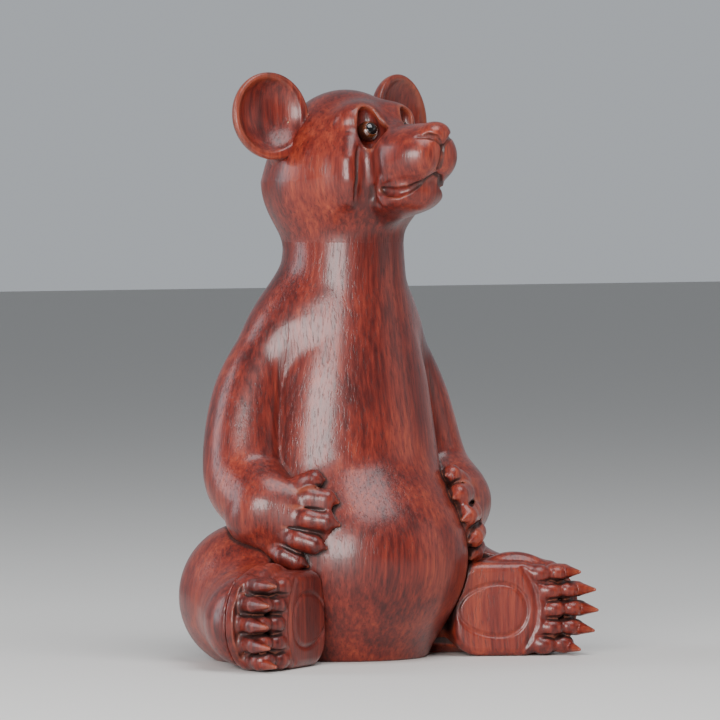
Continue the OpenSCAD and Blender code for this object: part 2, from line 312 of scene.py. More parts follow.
# Streaks and pores are noise drawn out along the grain.
drawn = node("VectorMath", {0: bent, 1: (1, 1, 0.045)}, operation="MULTIPLY").outputs[0]
streaks = node("TexNoise", {"Vector": drawn, "Scale": 620.0, "Detail": 4.0, "Roughness": 0.62}).outputs[0]
drawn_fine = node("VectorMath", {0: bent, 1: (1, 1, 0.12)}, operation="MULTIPLY").outputs[0]
pores = node("TexNoise", {"Vector": drawn_fine, "Scale": 1500.0, "Detail": 2.0, "Roughness": 0.5}).outputs[0]
pores = node("MapRange", {"Value": pores, 1: 0.56, 2: 0.7}).outputs[0]
tone = math_node(node, "MULTIPLY", layer, 0.07)
tone = math_node(node, "ADD", tone, math_node(node, "MULTIPLY", streaks, 0.56))
tone = math_node(node, "ADD", tone, math_node(node, "MULTIPLY", patches, 0.52))
WOOD = [(0.34, (0.024, 0.0040, 0.0038)), (0.48, (0.075, 0.0082, 0.0064)), (0.60, (0.155, 0.017, 0.0102)),
        (0.74, (0.27, 0.040, 0.0175)), (0.90, (0.42, 0.095, 0.034))]
OPEN_PORE = (0.022, 0.005, 0.004, 1)
# The darkest colour of the hollows: painted shade, with some stain.
SHADE_AND_STAIN = (0.013, 0.0048, 0.0038, 1)
WORN = (0.36, 0.085, 0.036, 1)
colour = ramp(node, tone, WOOD)
colour = mix(node, math_node(node, "MULTIPLY", pores, 0.5), colour, OPEN_PORE)
# Painted shade, with some stain: the colour darkens where the surface is hollow and where pieces meet.
hollow = node("Attribute", attribute_name="hollow").outputs["Fac"]
uneven = math_node(node, "MULTIPLY", math_node(node, "SUBTRACT", patches, 0.5), 0.25)
shade_and_stain = math_node(node, "ADD", hollow, uneven)
shade_and_stain = node("MapRange", {"Value": shade_and_stain, 1: 0.22, 2: 0.62}, interpolation_type="SMOOTHSTEP").outputs[0]
colour = mix(node, math_node(node, "MULTIPLY", shade_and_stain, 0.86), colour, SHADE_AND_STAIN)
sharp = node("Attribute", attribute_name="sharp").outputs["Fac"]
wear = math_node(node, "ADD", sharp, math_node(node, "MULTIPLY", streaks, 0.2))
wear = node("MapRange", {"Value": wear, 1: 0.42, 2: 0.75}, interpolation_type="SMOOTHSTEP").outputs[0]
colour = mix(node, math_node(node, "MULTIPLY", wear, 0.35), colour, WORN)
link(colour, surface.inputs["Base Color"])
dull = math_node(node, "ADD", 0.3, math_node(node, "MULTIPLY", streaks, 0.14))
dull = math_node(node, "ADD", dull, math_node(node, "MULTIPLY", shade_and_stain, 0.3))
dull = math_node(node, "ADD", dull, math_node(node, "MULTIPLY", pores, 0.12), clamp=True)
link(dull, surface.inputs["Roughness"])
surface.inputs["Specular IOR Level"].default_value = 0.4
surface.inputs["Coat Weight"].default_value = 0.35
surface.inputs["Coat Roughness"].default_value = 0.17
surface.inputs["Coat IOR"].default_value = 1.45
# Relief: the open grain, fine sanding texture, and the last flat touches of the knife.
fine = node("TexNoise", {"Vector": place, "Scale": 1300.0, "Detail": 2.0}).outputs[0]
facets = node("TexNoise", {"Vector": place, "Scale": 105.0, "Detail": 1.0}).outputs[0]
relief = math_node(node, "MULTIPLY", fine, 0.22)
relief = math_node(node, "SUBTRACT", relief, math_node(node, "MULTIPLY", pores, 0.5))
relief = math_node(node, "ADD", relief, math_node(node, "MULTIPLY", facets, 2.2))
bump = node("Bump", {"Height": relief, "Strength": 0.55, "Distance": 0.00012})
link(bump.outputs[0], surface.inputs["Normal"])
link(bump.outputs[0], surface.inputs["Coat Normal"])


# ---------------------------------------------------------------------------------------------
# Arms. Each is one block, glued and dowelled to the torso's side below the shoulder. Upper arm
# and forearm are sanded round. The paw's five fingers and short claws are cut with a V-tool.
# ---------------------------------------------------------------------------------------------
# The belly's upright axis, ahead of the neck's.
BELLY_AHEAD = 4


def on_belly(angle, z, out=0.0):
    """A point beside the belly, at an angle from straight ahead, a height and a distance out."""
    a = math.radians(angle)
    # The reach from the axis is halved in on, between two that are surely too near and too far.
    near, far = 20.0, 70.0
    for _ in range(14):
        reach = (near + far) / 2
        spot = reach * math.sin(a), -BELLY_AHEAD - reach * math.cos(a), z
        p = [np.array([q]) for q in spot]
        d = merge(trunk_shape[2](*p), belly[2](*p), 12)[0]
        near, far = (reach, far) if d < out else (near, reach)
    return np.array(spot)


# Fingers, from the top: root's angle and height, end's angle and height, claw's tip likewise.
FINGERS = [(70, 65.5, 57, 71, 51.8, 70.84), (67, 64.5, 48.5, 63.8, 42.5, 62.36),
           (66, 57, 48, 55.2, 41.6, 53.92), (68, 50, 53, 46.6, 47.4, 45.16), (72, 44, 61.5, 40, 56.3, 38.08)]


def limb(a, ra, b, rb):
    """A tapering rod with round ends."""
    a, b = np.array(a, float), np.array(b, float)
    d = b - a
    dd = max(float(d @ d), 1e-9)

    def distance(x, y, z):
        x, y, z = x - a[0], y - a[1], z - a[2]
        t = np.clip((x * d[0] + y * d[1] + z * d[2]) / dd, 0, 1)
        return np.sqrt((x - t * d[0]) ** 2 + (y - t * d[1]) ** 2 + (z - t * d[2]) ** 2) - (ra + (rb - ra) * t)
    r = max(ra, rb)
    return np.minimum(a, b) - r, np.maximum(a, b) + r, distance


def sweep(block, points, radii, steps=9):
    """A smooth rod through several points, with a radius at each."""
    keys = np.array([(*p, r) for p, r in zip(points, radii)], float)
    keys = np.vstack((2 * keys[0] - keys[1], keys, 2 * keys[-1] - keys[-2]))
    spots = []
    for a, b, c, d in zip(keys, keys[1:], keys[2:], keys[3:]):
        for t in np.arange(steps) / steps:
            bend = (2 * a - 5 * b + 4 * c - d) / 2
            twist = (3 * b - a - 3 * c + d) / 2
            spots.append(b + t * ((c - a) / 2 + t * (bend + t * twist)))
    spots.append(keys[-2])
    for p, q in zip(spots, spots[1:]):
        block.add(limb(p[:3], p[3], q[:3], q[3]), 0.8, 22)


def lay_arm(block):
    """The left arm: a swept rod, a padded palm, five fingers and their claws."""
    top, shoulder, upper, bent = (12, 5, 150), (19.5, 6.6, 136), (27.3, 8.2, 122), (38.3, 9.2, 100)
    elbow, fore, wrist = (44, 4.5, 72), (46, -10, 61), on_belly(84, 57, 5)
    sweep(block, (top, shoulder, upper, bent, elbow, fore, wrist), (6.5, 9.6, 13, 15, 16, 14, 12.2))
    block.add(egg(on_belly(77, 57, 3.5), (9, 11, 15.5), (0, 0, -12)), 4)
    block.add(egg(on_belly(68, 56, 2.6), (6.5, 9, 14), (0, 0, -24)), 4)
    block.add(egg(on_belly(59, 56, 0.6), (4, 11, 12.5), (0, 0, -32)), 3)
    hand = block.twin()
    for root_a, root_z, end_a, end_z, tip_a, tip_z in FINGERS:
        knuckle = on_belly((root_a + end_a) / 2 - 0.5, (root_z + end_z) / 2, 3.5)
        finger = block.twin()
        finger.add(limb(on_belly(root_a + 1, root_z, 2.8), 3.7, knuckle, 4.2))
        finger.add(limb(knuckle, 4.2, on_belly(end_a, end_z, 2.6), 3.9), 2)
        hand.field = merge(hand.field, finger.field, 0.5)
    block.field = merge(block.field, hand.field, 2.0)
    # V-cuts between the fingers, which run back over the knuckles.
    cuts = block.twin()
    for upper, lower in zip(FINGERS, FINGERS[1:]):
        root_a, root_z, end_a, end_z, *_ = [(u + v) / 2 for u, v in zip(upper, lower)]
        back, front = on_belly(root_a - 1, root_z, 7.6), on_belly(end_a, end_z, 5)
        cuts.add(limb(back, 0.1, (back + front) / 2, 0.7))
        cuts.add(limb((back + front) / 2, 0.7, front, 0.8))
    block.field = -merge(-block.field, cuts.field, 0.8)
    for root_a, root_z, end_a, end_z, tip_a, tip_z in FINGERS:
        claw = limb(on_belly(end_a - 2.6, end_z - 0.4, 2.2), 2.9, on_belly(tip_a, tip_z, 1.0), 0.8)
        block.add(claw, 0.2)
    return block


def smooth(low, high, value):
    """Rises from 0 to 1 between two values, gently at both."""
    t = np.clip((value - low) / (high - low), 0, 1)
    return t * t * (3 - 2 * t)


def arm_fillet(z):
    """The arm melts into the shoulder, and parts from the chest in a crease lower down."""
    return (1.2 + 17 * smooth(104, 135, z)) * (1 - 0.85 * smooth(138, 163, z))


def lap(whole, beyond, width=0.8):
    """One piece's share of the whole: past its border it runs on a little, sinking under the next."""
    return np.maximum(whole + 0.3 * np.clip(beyond / width, 0, 1) ** 2, beyond - width)


# Dowels' radii, and the room for glue round them.
NECK_PEG, LIMB_PEG, EAR_PEG = 5, 3, 1.2
PEG_ROOM = 0.15


def peg_line(name, direction, radius):
    """A dowel's middle, its direction and half its length, as they fill its own box."""
    lo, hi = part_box(name)
    d = Vector(direction).normalized()
    size = (hi - lo) * 1000
    halves = [(size[i] / 2 - radius * math.sqrt(max(0, 1 - d[i] ** 2))) / abs(d[i])
              for i in range(3) if abs(d[i]) > 0.3]
    return (lo + hi) / 2, d, min(halves)


def drill(block, name, direction, radius):
    """Cuts the blind hole for a dowel."""
    spot, d, half = peg_line(name, direction, radius)
    c = block.place.inverted() @ ((spot - Vector((0, neck.y, 0))) * 1000)
    d = block.place.to_3x3().inverted() @ d

    def distance(x, y, z):
        x, y, z = x - c.x, y - c.y, z - c.z
        t = x * d.x + y * d.y + z * d.z
        out = np.sqrt(np.maximum(x * x + y * y + z * z - t * t, 0))
        return np.maximum(out - radius, np.abs(t) - half) - PEG_ROOM
    r = half + radius
    block.cut((np.array(c) - r, np.array(c) + r, distance))


def timber(name, block, whole, mirrored=False):
    """Turns a carved block into a piece of wood, and records where its surface is hollow or sharp."""
    grid = openvdb.FloatGrid(10.0)
    grid.copyFromArray(np.ascontiguousarray(np.clip(block.field, -4, 4)))
    spots, quads = grid.convertToQuads(0.0)
    spots = block.low + spots.astype(float) * block.step
    m = np.array(block.place)
    world_spots = spots @ m[:3, :3].T + m[:3, 3] + np.array((0, neck.y * 1000, 0))
    if mirrored:
        world_spots[:, 0] *= -1
    if mirrored == (block.place.determinant() < 0):
        quads = quads[:, ::-1]
    mesh = bpy.data.meshes.new(name)
    mesh.vertices.add(len(spots))
    mesh.vertices.foreach_set("co", (world_spots / 1000).astype(np.float32).ravel())
    mesh.loops.add(quads.size)
    mesh.loops.foreach_set("vertex_index", quads.astype(np.int32).ravel())
    mesh.polygons.add(len(quads))
    mesh.polygons.foreach_set("loop_start", np.arange(0, quads.size, 4, dtype=np.int32))
    mesh.update(calc_edges=True)
    mesh.validate()
    mesh.shade_smooth()
    piece = bpy.data.objects.new(name, mesh)
    bpy.context.collection.objects.link(piece)
    # Hollows: how much nearer the carved surface stays, along the way out, than on open ground.
    slope = [whole.at(spots + e) - whole.at(spots - e) for e in np.eye(3) * block.step]
    out = np.stack(slope, 1)
    out /= np.maximum(np.linalg.norm(out, axis=1, keepdims=True), 1e-6)
    hollow = np.zeros(len(spots))
    sharp = np.zeros(len(spots))
    # The hollow measure sets where the wood's colour is darkened with painted shade.
    for reach, weight in ((1.0, 0.4), (2.2, 0.35), (4.5, 0.25)):
        hollow += weight * np.clip(1 - whole.at(spots + out * reach) / reach, 0, 1)
        sharp += weight * np.clip(1 + whole.at(spots - out * reach) / reach, 0, 1)
    for label, values in (("hollow", hollow), ("sharp", sharp)):
        layer = mesh.attributes.new(label, "FLOAT", "POINT")
        layer.data.foreach_set("value", values.astype(np.float32))
    mesh.materials.append(hardwood)
    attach(piece, "root")
    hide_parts(name)
    return piece


arm = Block((2, -56, 30), (64, 26, 163), 0.5)
lay_arm(arm)
beside = lay_torso(arm.twin())
joined = arm.twin()
joined.field = merge(arm.field, beside.field, arm_fillet(arm.axes[2].reshape(1, 1, -1)))
cut = arm.twin()
cut.field = lap(joined.field, arm.field - beside.field)
drill(cut, "arm_dowel_left", (1, 0, 0), LIMB_PEG)
timber("arm_left", cut, joined)
timber("arm_right", cut, joined, mirrored=True)

# ---------------------------------------------------------------------------------------------
# The torso's own block, cut here because it shares the soft line of the shoulder with the arms.
# The neck swells into the back of the skull above it, and the head's dowel goes in at its top.
# ---------------------------------------------------------------------------------------------


def half_space(point, out):
    """Everything behind a plane, which faces out."""
    n = np.array(out, float) / np.linalg.norm(out)
    p = np.array(point, float)
    return p - 1e3, p + 1e3, lambda x, y, z: (x - p[0]) * n[0] + (y - p[1]) * n[1] + (z - p[2]) * n[2]


def seen_from(shape, place):
    """A shape of the standing bear, as it lies in a turned block's own frame."""
    m = np.array(place)

    def distance(x, y, z):
        q = [m[i, 0] * x + m[i, 1] * y + m[i, 2] * z + m[i, 3] for i in range(3)]
        return shape[2](*q)
    return (-1e3,) * 3, (1e3,) * 3, distance


# The head's middle stands over the neck's joint, turned to the bear's left and tipped back.
HEAD_UP, HEAD_TURN, HEAD_TIP = 34, math.radians(9), math.radians(-20)
head_place = Matrix.Translation((0, 0, neck_joint + HEAD_UP)) @ Matrix.Rotation(HEAD_TURN, 4, "Z") \
    @ Matrix.Rotation(HEAD_TIP, 4, "X")
cheeks, crown = egg((0, 1, -6), (30, 31, 21.5)), egg((0, 1, 5), (20, 24, 20.3))
skull = (-34,) * 3, (34,) * 3, lambda x, y, z: merge(cheeks[2](x, y, z), crown[2](x, y, z), 12)
nape = egg((0, 6, -9), (28.5, 26, 22))


def lay_skull(block, place):
    """The back and bottom of the head, which the neck runs up into."""
    stands = place.inverted() @ head_place
    block.add(seen_from(skull, stands.inverted()), 14)
    block.add(seen_from(nape, stands.inverted()), 10)


torso = lay_torso(Block((-48, -56, -1), (48, 44, neck_joint + 6), 0.8))
lay_skull(torso, Matrix.Identity(4))
arms = lay_arm(torso.twin())
mirrored = torso.twin()
mirrored.field = arms.field[::-1]
both = torso.twin()
both.field = np.minimum(arms.field, mirrored.field)
whole = torso.twin()
whole.field = merge(torso.field, both.field, arm_fillet(torso.axes[2].reshape(1, 1, -1)))
cut = torso.twin()
cut.field = lap(whole.field, torso.field - both.field)
cut.field = lap(cut.field, torso.axes[2].reshape(1, 1, -1) - neck_joint, 1.2)
drill(cut, "neck_dowel", (0, 0, 1), NECK_PEG)
for word in ("left", "right"):
    drill(cut, "arm_dowel_" + word, (1, 0, 0), LIMB_PEG)
    drill(cut, "leg_dowel_" + word, (1, 0, 0), LIMB_PEG)
cut.keep(half_space((0, 0, 0), (0, 0, -1)))
timber("torso", cut, whole)

# ---------------------------------------------------------------------------------------------
# Legs. Haunch and shin are one block each side, sanded round and dowelled to the hip. The end
# is sawn flat, across the line of the sole, and the foot is glued on there.
# ---------------------------------------------------------------------------------------------
SPLAY = math.radians(28)
# The foot's thickness, from its back to the sole.
SOLE = 18.0
heel = Vector((30, -31, 0))
foot_place = Matrix.Translation(heel) @ Matrix.Rotation(-SPLAY, 4, "Z") @ Matrix.Rotation(math.pi / 2, 4, "X")
sole_out = np.array(foot_place.to_3x3() @ Vector((0, 0, 1)))
back_of_foot = np.array(heel) - sole_out * SOLE

haunch = egg((43, 4, 25.5), (25, 27, 28), (0, 0, -10))
ankle = limb((57, -20, 19), 18.5, (67.5, -33, 18.5), 18)


def lay_leg(block):
    """The left leg: haunch, shin and ankle."""
    block.add(haunch)
    block.add(limb((44, 2, 24), 24, (57, -20, 19), 18.5), 8)
    block.add(ankle, 6)
    return block


leg = lay_leg(Block((14, -60, -1), (92, 36, 60), 0.7))
beside = lay_torso(leg.twin())
paw = lay_arm(leg.twin())
joined = leg.twin()
joined.field = merge(np.minimum(leg.field, paw.field), beside.field, 1.5)
cut = leg.twin()
cut.field = np.maximum(np.maximum(leg.field, -beside.field), -paw.field - 0.5)
cut.keep(half_space(back_of_foot - sole_out * 0.1, sole_out))
cut.keep(half_space((0, 0, 0), (0, 0, -1)))
drill(cut, "leg_dowel_left", (1, 0, 0), LIMB_PEG)
drill(cut, "foot_dowel_left", sole_out, LIMB_PEG)
timber("leg_left", cut, joined)
timber("leg_right", cut, joined, mirrored=True)

# ---------------------------------------------------------------------------------------------
# Feet. Each stands on its edge with the sole to the front. The pad's outline and the lines
# between pads, toes and claws are cut with a V-tool, and the claws are pared to points.
# ---------------------------------------------------------------------------------------------
# Toes, from the top of the standing foot: place up, reach, claw tip's place up and reach, pad's place.
TOES = [(32.2, 44.5, 33, 50.5, 34), (25.6, 49, 26, 56.5, 38.5), (18.4, 50.4, 18, 57.5, 40),
        (11.2, 49, 10, 56, 39), (4.6, 45, 2.6, 50.5, 36)]


def eased(outline, thick, edge):
    """A slab from the distances to its outline and to its faces, with rounded edges."""
    inside = np.minimum(np.maximum(outline, thick) + edge, 0)
    return inside + np.sqrt(np.maximum(outline + edge, 0) ** 2 + np.maximum(thick + edge, 0) ** 2) - edge


def sole_slab(x, y, z):
    """The foot's body: a rounded bar with eased edges, from the sole back."""
    along = np.abs(x - 19) - 8
    up = np.abs(y - 18.4) - 7.4
    outline = eased(along, up, 0) - 11
    return eased(outline, np.abs(z + SOLE / 2 + 4) - SOLE / 2 - 4, 3.6)


def toe_fan(x, y, z):
    """The rounded front of the foot, behind the claws, which the toes are cut from."""
    rim = np.sqrt((x - 26) ** 2 + (y - 18.4) ** 2) - 21.8
    return eased(rim, np.abs(z + 13) - 5, 3.8)


def lay_foot(block):
    """The left foot, on its edge: body, toes, pads, claws and the cuts between them."""
    block.add(((-4, -4, -SOLE - 12), (54, 42, 2), sole_slab))
    block.add(((4, -4, -SOLE - 2), (52, 42, -4), toe_fan), 1.5)
    toes = block.twin()
    for up, reach, tip_up, tip_reach, pad in TOES:
        toe = block.twin()
        toe.add(limb((reach - 12, up, -SOLE + 4.6), 4.5, (reach - 4.3, up, -SOLE + 4.9), 4.3))
        toes.field = merge(toes.field, toe.field, 1.5)
    block.field = merge(block.field, toes.field, 1.2)
    for up, reach, tip_up, tip_reach, pad in TOES:
        block.add(egg((pad, up - 0.3, -3.2), (5.2, 3.9, 4.2)), 0.8)
        block.add(egg((pad + 7.4, up, -6), (5.4, 3.7, 5)), 1)
        bend = ((reach + tip_reach) / 2 - 2.4, (up + tip_up) / 2, -6.4)
        block.add(limb((reach - 4, up, -12), 3.4, bend, 3.0), 1.2)
        block.add(limb(bend, 3.0, (tip_reach - 0.9, tip_up, 2.4), 0.7), 0.3)
    # V-cuts between the toes and behind the row of pads.
    cuts = block.twin()
    for (up, reach, *_), (next_up, next_reach, *_) in zip(TOES, TOES[1:]):
        level, far = (up + next_up) / 2, (reach + next_reach) / 2
        cuts.add(limb((far - 15, level, 0.6), 0.4, (far - 6, level, -1.4), 1.0))
        cuts.add(limb((far - 6, level, -1.4), 1.0, (far + 0.4, level, -8), 1.1))
        cuts.add(limb((far + 0.4, level, -8), 1.1, (far - 1.2, level, -13.5), 0.3))
    edge = [(27.5, 34.5), (30.4, 30), (32.6, 24), (33.4, 18.4), (32.6, 12), (30.4, 7), (27.5, 2)]
    for (x0, y0), (x1, y1) in zip(edge, edge[1:]):
        cuts.add(limb((x0, y0, 0.4), 1.0, (x1, y1, 0.4), 1.0))
    block.field = -merge(-block.field, cuts.field, 1.0)
    # The big pad's outline, a groove all round an oval that is fuller towards the toes.
    turns = [math.radians(a) for a in range(0, 360, 6)]
    ring = [(15.6 + 13.6 * math.cos(a), 18.2 + (11 + 1.9 * math.cos(a + 0.5 * math.sin(a))) * math.sin(a))
            for a in turns]
    groove = block.twin()
    for (x0, y0), (x1, y1) in zip(ring, ring[1:] + ring[:1]):
        groove.add(limb((x0, y0, 0.3), 0.9, (x1, y1, 0.3), 0.9))
    block.field = -merge(-block.field, groove.field, 0.6)
    return block


foot = lay_foot(Block((-4, -3, -SOLE - 2), (61, 42, 6), 0.4, foot_place))
shin = foot.twin()
for part in (haunch, ankle):
    shin.add(seen_from(part, foot_place), 6)
shin.keep(half_space((0, 0, -SOLE + 3.4), (0, 0, 1)))
foot.field = merge(foot.field, shin.field, 2.5)
body = foot.twin()
body.add(seen_from(belly, foot_place))
body.add(seen_from(trunk_shape, foot_place), 12)
joined = foot.twin()
joined.field = np.minimum(np.minimum(foot.field, shin.field), body.field)
cut = foot.twin()
cut.field = np.maximum(foot.field, -body.field)
cut.keep(half_space((0, 0, -SOLE + 0.1), (0, 0, -1)))
cut.keep(half_space((0, 0, 0), (0, -1, 0)))
drill(cut, "foot_dowel_left", sole_out, LIMB_PEG)
timber("foot_left", cut, joined)
timber("foot_right", cut, joined, mirrored=True)

# ---------------------------------------------------------------------------------------------
# Head. One block, turned to the bear's left and looking up: skull, brows, cheeks, a blunt
# muzzle with its nose and smile, and the lower jaw. Sockets are cut for two glass eyes.
# ---------------------------------------------------------------------------------------------


def ball(centre, radius):
    """A ball, for the eye's seat."""
    c = np.array(centre, float)
    return c - radius, c + radius, lambda x, y, z: np.sqrt(
        (x - c[0]) ** 2 + (y - c[1]) ** 2 + (z - c[2]) ** 2) - radius


def skin(block, start, toward, sunk=0.0):
    """The point where a line leaves the wood, or a little under it."""
    start, way = np.array(start, float), np.array(toward, float) - np.array(start, float)
    way /= np.linalg.norm(way)
    reach = np.arange(0, 60, 0.2)
    depth = block.at(start + reach[:, None] * way)
    return start + way * (reach[np.argmax(depth > 0)] - sunk)


def score(block, points, radii, blend, sunk=0.0, core=(0, 0, -10)):
    """Cuts a line with a gouge, through points dropped on to the surface."""
    spots = [skin(block, core, p, sunk) for p in points]
    line = block.twin()
    for a, b, ra, rb in zip(spots, spots[1:], radii, radii[1:]):
        line.add(limb(a, ra, b, rb))
    block.field = -merge(-block.field, line.field, blend)


def lay_head(block):
    """Neck's top, skull, muzzle and jaw, before the fine lines are cut."""
    low, high, distance = trunk_shape
    neck_top = low, high, lambda x, y, z: np.maximum(distance(x, y, z), z - neck_joint - 16)
    block.add(seen_from(neck_top, head_place))
    lay_skull(block, head_place)
    # Muzzle: a straight bridge, then the jaw below it.
    block.add(limb((0, -14, -6.5), 12.5, (0, -45.5, -11.3), 7.2), 6)
    block.add(limb((0, -12, -22), 12, (0, -32.5, -26.8), 8), 4)
    for side in (-1, 1):
        # Cheek, brow, side of the muzzle, upper lip and lower lip.
        block.add(egg((side * 13, -9, -13), (13.5, 14, 15)), 8)
        block.add(egg((side * 9.5, -20.5, 7), (9, 7, 6)), 6)
        block.add(egg((side * 7, -31, -14.5), (9.2, 16, 11.4)), 5)
        block.add(egg((side * 5, -40.6, -16.2), (8, 10, 9)), 4)
        block.add(egg((side * 6, -28, -27.6), (8, 10.5, 5.8)), 3)
    return block


def welt(block, points, radii, blend, sunk=0.0, core=(0, 0, -10)):
    """Leaves a raised line on the surface, through points dropped on to it."""
    spots = [skin(block, core, p, sunk) for p in points]
    line = block.twin()
    for a, b, ra, rb in zip(spots, spots[1:], radii, radii[1:]):
        line.add(limb(a, ra, b, rb))
    block.field = merge(block.field, line.field, blend)


head = Block((-34, -60, -46), (34, 40, 32), 0.5, head_place)
lay_head(head)
# Nose: a rounded wedge over the lips, with two comma-shaped nostrils and the line below.
head.add(egg((0, -49.4, -9.8), (6.6, 5.2, 4.9), (14, 0, 0)), 1.4)
head.add(limb((0, -49.2, -11.5), 3.4, (0, -49.0, -14.8), 1.4), 1.0)
for side in (-1, 1):
    nostril = [(side * 6.6, -47, -11.2), (side * 5.2, -50.2, -11.4), (side * 3.4, -52, -12.6),
               (side * 1.7, -52, -14.2), (side * 0.3, -51.6, -16)]
    score(head, nostril, (0.4, 1.2, 1.3, 0.8, 0.5), 0.6, 0.1, (0, -45, -13))
score(head, [(0, -52, -15.6), (0, -51, -19.5), (0, -48, -23.4)], (0.7, 0.8, 0.9), 1.0, 0, (0, -38, -16))
for side in (-1, 1):
    # Cheek: a crisp ridge from the eye's outer corner down to the jaw, over a shallow channel.
    ridge = [(side * 19.6, -22.5, -3), (side * 20.8, -21, -10), (side * 20.8, -19, -17),
             (side * 20, -15.5, -23.5)]
    welt(head, ridge, (1.4, 2.4, 2.4, 1.2), 6, 1.4, (0, -4, -8))
    channel = [(side * 15.6, -26, -8), (side * 16.2, -25, -13.5), (side * 16.2, -23, -19),
               (side * 15.6, -19, -24.5)]
    score(head, channel, (1.6, 2.8, 2.6, 1.2), 4.5, -2.0, (0, -6, -8))
    line = [(side * 17.6, -25, -6), (side * 18.4, -23.6, -10), (side * 18.7, -21.8, -15.5),
            (side * 18.4, -19, -20.5), (side * 17.8, -16, -25)]
    score(head, line, (0.4, 0.8, 0.8, 0.7, 0.3), 0.5, 0.1, (0, -6, -8))
    # Smile: from under the nose, back along the jaw to a deep corner with a welt round it.
    lips = [(0, -46, -24), (side * 3, -44.5, -25), (side * 6, -40.5, -26.8), (side * 9, -36.5, -27.8),
            (side * 11, -33, -27.4), (side * 12.8, -30, -26.2), (side * 14, -27.4, -24.4)]
    score(head, lips, (0.5, 0.7, 1.0, 1.5, 2.1, 2.0, 1.0), 0.7, 0.4, (0, -26, -22))
    corner = [(side * 12, -32, -21.6), (side * 14, -29, -21), (side * 15.3, -26, -22.6),
              (side * 15, -25, -26), (side * 13, -26.6, -30)]
    welt(head, corner, (0.7, 1.3, 1.5, 1.4, 0.8), 1.6, 0.7, (0, -24, -22))
    fold = [(side * 16, -24.4, -23), (side * 15.6, -23.2, -26.4), (side * 13.8, -23.6, -30)]
    score(head, fold, (0.4, 0.9, 0.4), 2.4, -0.2, (0, -16, -20))
# Sockets: teardrops that point up, deeper than the eyes are set.
GAZE = math.radians(12)
eye_lo, eye_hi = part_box("eye_left")
eye_at = head_place.inverted() @ (((eye_lo + eye_hi) / 2 - Vector((0, neck.y, 0))) * 1000)
for side in (-1, 1):
    c = np.array((side * eye_at.x, eye_at.y, eye_at.z))
    gaze = np.array((side * math.sin(GAZE), -math.cos(GAZE), 0))
    drop = head.twin()
    drop.add(egg(c + gaze * 3.6 + (side * 0.9, 0, -2.3), (6.0, 5.8, 7.6), (0, 0, side * 12)))
    drop.add(egg(c + gaze * 3.2 + (side * 1.1, 0, 3.4), (4.4, 5.2, 5.6), (0, 0, side * 12)), 1.5)
    head.field = -merge(-head.field, drop.field, 0.8)
    # The eye stands in its seat at the back of the socket.
    head.cut(ball(c, 4.1))
cut = head.twin()
plane = head_place.inverted() @ Vector((0, 0, neck_joint))
down = head_place.to_3x3().inverted() @ Vector((0, 0, -1))
below = half_space(plane, down)[2](*head.part(head.low, head.low + 1e4)[1])
cut.field = lap(head.field, below, 1.2)
drill(cut, "neck_dowel", (0, 0, 1), NECK_PEG)
# Holes for the ears' dowels. An ear's own frame has its dowel along X, and its dish faces Z.
ear_places = {}
for side, word in ((1, "left"), (-1, "right")):
    ear_place = head_place @ Matrix.Scale(side, 4, (1, 0, 0)) @ Matrix.Translation((36, -1.8, 15.2))
    for degrees, axis in ((18, "X"), (-24, "Y"), (12, "Z"), (90, "X")):
        ear_place = ear_place @ Matrix.Rotation(math.radians(degrees), 4, axis)
    ear_places[word] = ear_place
    drill(cut, "ear_dowel_" + word, ear_place.to_3x3() @ Vector((1, 0, 0)), EAR_PEG)
timber("head", cut, head)

# ---------------------------------------------------------------------------------------------
# Ears. Small bowls, hollowed with a gouge to a thin rim, and pinned to the sides of the skull.
# ---------------------------------------------------------------------------------------------
for side, word in ((1, "left"), (-1, "right")):
    ear_place = ear_places[word]
    ear = Block((-27, -24, -17), (19, 19, 3), 0.4, ear_place)
    ear.add(egg((0, 0, -0.5), (17, 17, 9)))
    ear.keep(half_space((0, 0, 0.6), (0, 0, 1)), 1.0)
    ear.add(limb((-7, -5, -7), 4.5, (-17, -10, -8), 7.5), 5)
    ear.cut(egg((1.0, 0.1, 2.8), (14.8, 15.2, 7.8)), 0.7)
    base = ear.twin()
    base.add(seen_from(skull, head_place.inverted() @ ear_place))
    joined = ear.twin()
    joined.field = merge(ear.field, base.field, 1.0)
    cut = ear.twin()
    cut.field = np.maximum(joined.field, -base.field)
    drill(cut, "ear_dowel_" + word, ear_place.to_3x3() @ Vector((1, 0, 0)), EAR_PEG)
    timber("ear_" + word, cut, joined)

# ---------------------------------------------------------------------------------------------
# Eyes. Two solid balls of brown glass, glued into their sockets. A black glass pupil is set in
# the front of each, and ground flush with the ball.
# ---------------------------------------------------------------------------------------------


